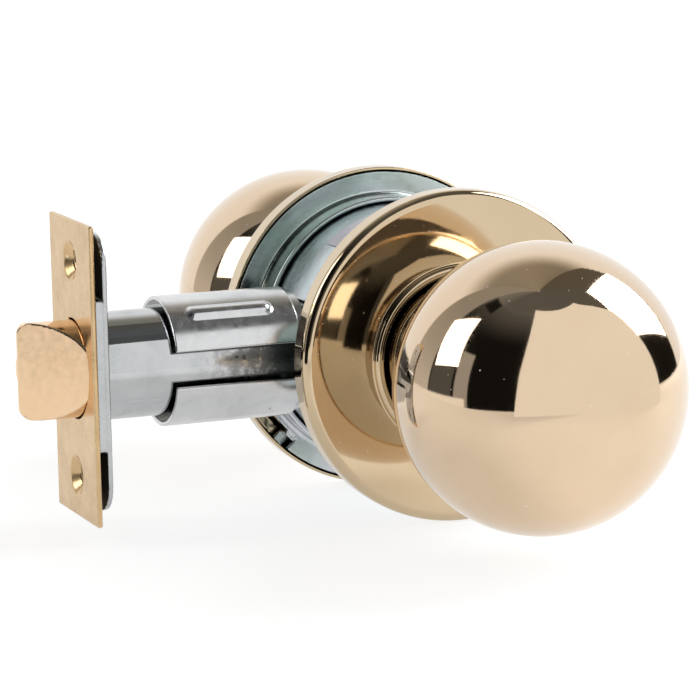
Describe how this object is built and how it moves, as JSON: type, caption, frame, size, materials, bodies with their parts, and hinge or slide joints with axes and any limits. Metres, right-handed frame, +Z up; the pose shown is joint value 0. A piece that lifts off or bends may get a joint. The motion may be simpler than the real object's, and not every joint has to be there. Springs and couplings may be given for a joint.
{
  "type": "privacy door knob",
  "caption": "Round brass privacy knob set: ball knobs on flat roses, a drum chassis with retractor between them, and a spring latch with faceplate.",
  "frame": {"origin": "where the knob axis crosses the latch axis, at the middle of the door's thickness", "axes": "+X from the latch bolt towards the knob and beyond, +Y from the outside knob to the inside knob, +Z up"},
  "size_m": [0.1123, 0.1794, 0.064],
  "materials": {
    "polished_brass": "mirror polish",
    "satin_brass": "satin",
    "zinc_plate": "bright zinc plate with a blue tint",
    "latch_steel": "plated, scuffed",
    "plain_steel": "plain",
    "spring_steel": "oiled",
    "label_paper": "matt"
  },
  "bodies": {
    "lock_case": {"outside_rose": "polished_brass", "outside_rose_liner": "zinc_plate", "outside_hub": "zinc_plate", "chassis_drum": "zinc_plate", "retractor_guides": "plain_steel", "retractor_spring_seat": "plain_steel", "retractor_springs": "spring_steel", "inside_hub": "zinc_plate", "inside_rose_liner": "zinc_plate", "inside_rose": "polished_brass", "mounting_screws": "zinc_plate", "latch_faceplate": "satin_brass", "latch_backing_plate": "latch_steel", "latch_tube": "latch_steel", "latch_sleeve_upper": "latch_steel", "latch_sleeve_lower": "latch_steel", "latch_rear_collar": "latch_steel", "latch_spring": "spring_steel", "drum_label": "label_paper"},
    "outside_knob_body": {"outside_knob": "polished_brass", "outside_knob_neck": "polished_brass", "outside_knob_insert": "plain_steel", "outside_spindle": "plain_steel", "outside_retaining_ring": "plain_steel", "outside_catch_spring": "spring_steel"},
    "inside_knob_body": {"inside_knob": "polished_brass", "inside_knob_neck": "polished_brass", "inside_knob_insert": "plain_steel", "inside_spindle": "plain_steel", "inside_retaining_ring": "plain_steel", "inside_catch_spring": "spring_steel", "button_bush": "polished_brass", "button_spring": "spring_steel"},
    "outside_catch_body": {"outside_knob_catch": "plain_steel"},
    "inside_catch_body": {"inside_knob_catch": "plain_steel"},
    "button_body": {"push_button": "polished_brass", "locking_bar": "plain_steel"},
    "retractor_body": {"retractor": "plain_steel"},
    "bolt_body": {"latch_bolt": "satin_brass", "latch_tail": "latch_steel", "latch_tail_pin": "latch_steel", "deadlatch_spring": "spring_steel"},
    "plunger_body": {"deadlatch_plunger": "satin_brass"}
  },
  "joints": [
    {"name": "inside_knob_turn", "type": "hinge", "parent": "lock_case", "child": "inside_knob_body", "pos_m": [0, 0, 0], "axis": [0, 1, 0], "range_deg": [0, 60], "stiffness_Nm_per_rad": 0.25, "springref_deg": -5.73},
    {"name": "outside_knob_turn", "type": "hinge", "parent": "lock_case", "child": "outside_knob_body", "pos_m": [0, 0, 0], "axis": [0, 1, 0], "range_deg": [0, 60]},
    {"name": "retractor_slide", "type": "slide", "parent": "lock_case", "child": "retractor_body", "axis": [1, 0, 0], "range_m": [0, 0.0105], "deforming": ["retractor_springs"]},
    {"name": "bolt_slide", "type": "slide", "parent": "lock_case", "child": "bolt_body", "axis": [1, 0, 0], "range_m": [0, 0.0105], "deforming": ["latch_spring"]},
    {"name": "plunger_slide", "type": "slide", "parent": "bolt_body", "child": "plunger_body", "axis": [1, 0, 0], "range_m": [0, 0.009], "stiffness_N_per_m": 200, "deforming": ["deadlatch_spring"]},
    {"name": "button_press", "type": "slide", "parent": "inside_knob_body", "child": "button_body", "axis": [0, -1, 0], "range_m": [0, 0.004], "stiffness_N_per_m": 400, "deforming": ["button_spring"]},
    {"name": "outside_catch_press", "type": "slide", "parent": "outside_knob_body", "child": "outside_catch_body", "axis": [0, 0, 1], "range_m": [0, 0.002], "stiffness_N_per_m": 400, "deforming": ["outside_catch_spring"]},
    {"name": "inside_catch_press", "type": "slide", "parent": "inside_knob_body", "child": "inside_catch_body", "axis": [0, 0, 1], "range_m": [0, 0.002], "stiffness_N_per_m": 400, "deforming": ["inside_catch_spring"]}
  ],
  "couplings": [
    {"joint": "outside_knob_turn", "follows": "inside_knob_turn", "ratio": 1},
    {"joint": "retractor_slide", "follows": "inside_knob_turn", "m_per_rad": 0.010027},
    {"joint": "bolt_slide", "follows": "inside_knob_turn", "m_per_rad": 0.010027}
  ]
}
